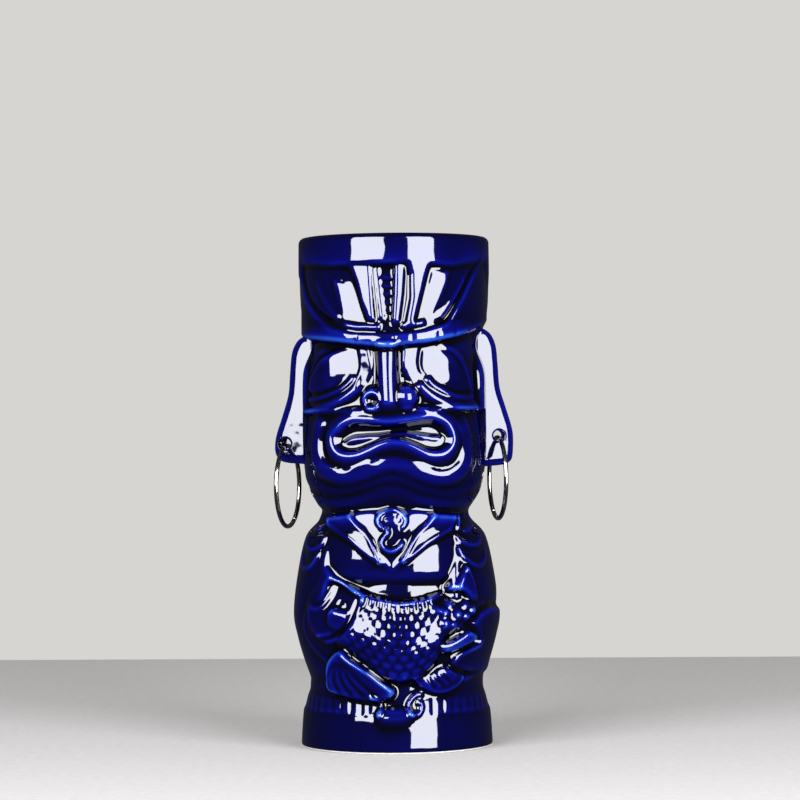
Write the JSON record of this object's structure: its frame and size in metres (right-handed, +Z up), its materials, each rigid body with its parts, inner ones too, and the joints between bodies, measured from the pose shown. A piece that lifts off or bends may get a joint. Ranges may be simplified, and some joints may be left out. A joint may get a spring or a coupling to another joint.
{
  "type": "tiki mug",
  "caption": "Tall glazed ceramic mug shaped as a carved standing figure, with slab ears and a wire ring that swings in each ear.",
  "frame": {"origin": "centre of the foot, on the surface the mug stands on", "axes": "+Z up through the open mouth, the carved face looks along -Y, +X to the right of someone who looks at the face"},
  "size_m": [0.0902, 0.0754, 0.19],
  "materials": {
    "cobalt_glaze": "glossy cobalt glaze, brighter where it runs thin over edges",
    "ring_steel": "polished nickel-plated wire"
  },
  "bodies": {
    "mug": {"mug_body": "cobalt_glaze", "left_ear": "cobalt_glaze", "right_ear": "cobalt_glaze"},
    "left_ring": {"left_ear_ring": "ring_steel"},
    "right_ring": {"right_ear_ring": "ring_steel"}
  },
  "joints": [
    {"name": "left_ring_swing", "type": "hinge", "parent": "mug", "child": "left_ring", "pos_m": [-0.04059, 0.0021, 0.1123], "axis": [0.284, 0.9588, 0], "range_deg": [-14, 110]},
    {"name": "right_ring_swing", "type": "hinge", "parent": "mug", "child": "right_ring", "pos_m": [0.03839, 0.00145, 0.1149], "axis": [0.284, -0.9588, 0], "range_deg": [-10, 110]}
  ]
}
